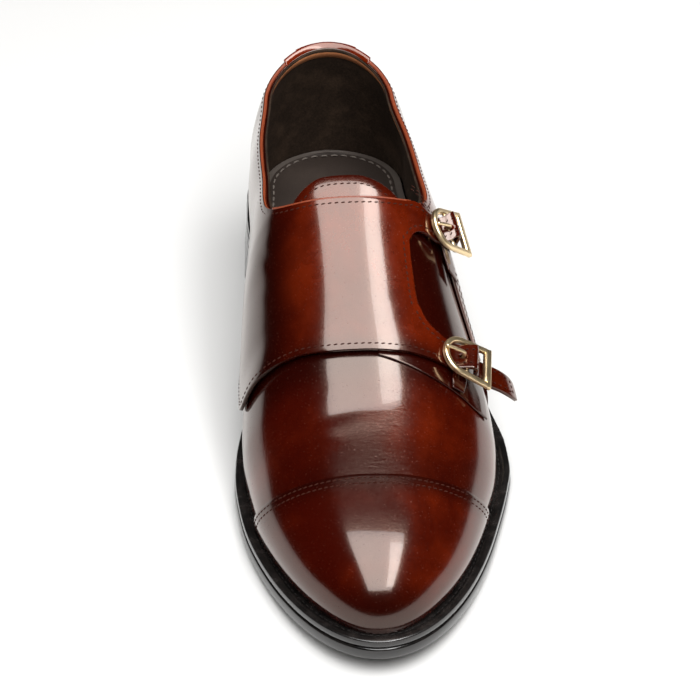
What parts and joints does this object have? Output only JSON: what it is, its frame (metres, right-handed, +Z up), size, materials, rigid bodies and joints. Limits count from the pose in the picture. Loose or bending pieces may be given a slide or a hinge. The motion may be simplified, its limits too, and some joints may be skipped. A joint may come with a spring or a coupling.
{
  "type": "monk strap shoe",
  "caption": "Left low-cut dress shoe with a capped toe and buckled straps closing over a tongue, on a welted sole with a stacked heel.",
  "frame": {"origin": "on the floor, below the middle of the shoe", "axes": "-Y towards the toe, +X towards the outer side of the left foot, +Z up"},
  "size_m": [0.1146, 0.3052, 0.0953],
  "materials": {
    "upper_leather": "burnished, high shine",
    "cap_leather": "burnished dark, high shine",
    "strap_leather": "burnished, high shine",
    "collar_leather": "plain, half shine",
    "dark_leather": "dark, half shine",
    "lining_leather": "matt, soft",
    "insole_leather": "matt, soft",
    "cut_edge": "raw edge, dyed",
    "thread": "waxed thread",
    "welt_thread": "waxed thread",
    "sole_edge": "inked edge, gloss",
    "welt_leather": "inked, gloss",
    "heel_leather": "inked edge, gloss",
    "heel_rubber": "matt",
    "buckle_brass": "polished"
  },
  "bodies": {
    "root": {"outsole": "sole_edge", "welt": "welt_leather", "heel_stack": "heel_leather", "heel_top_lift": "heel_rubber", "insole": "insole_leather", "upper": "upper_leather", "tongue": "upper_leather", "toe_cap": "cap_leather", "strap_panel": "strap_leather", "outer_quarter": "upper_leather", "backstay": "collar_leather", "under_flap": "dark_leather", "upper_buckle_tab": "dark_leather", "upper_buckle_frame": "buckle_brass", "upper_buckle_prong": "buckle_brass", "lower_buckle_tab": "dark_leather", "lower_buckle_frame": "buckle_brass", "lower_buckle_prong": "buckle_brass"}
  },
  "joints": []
}
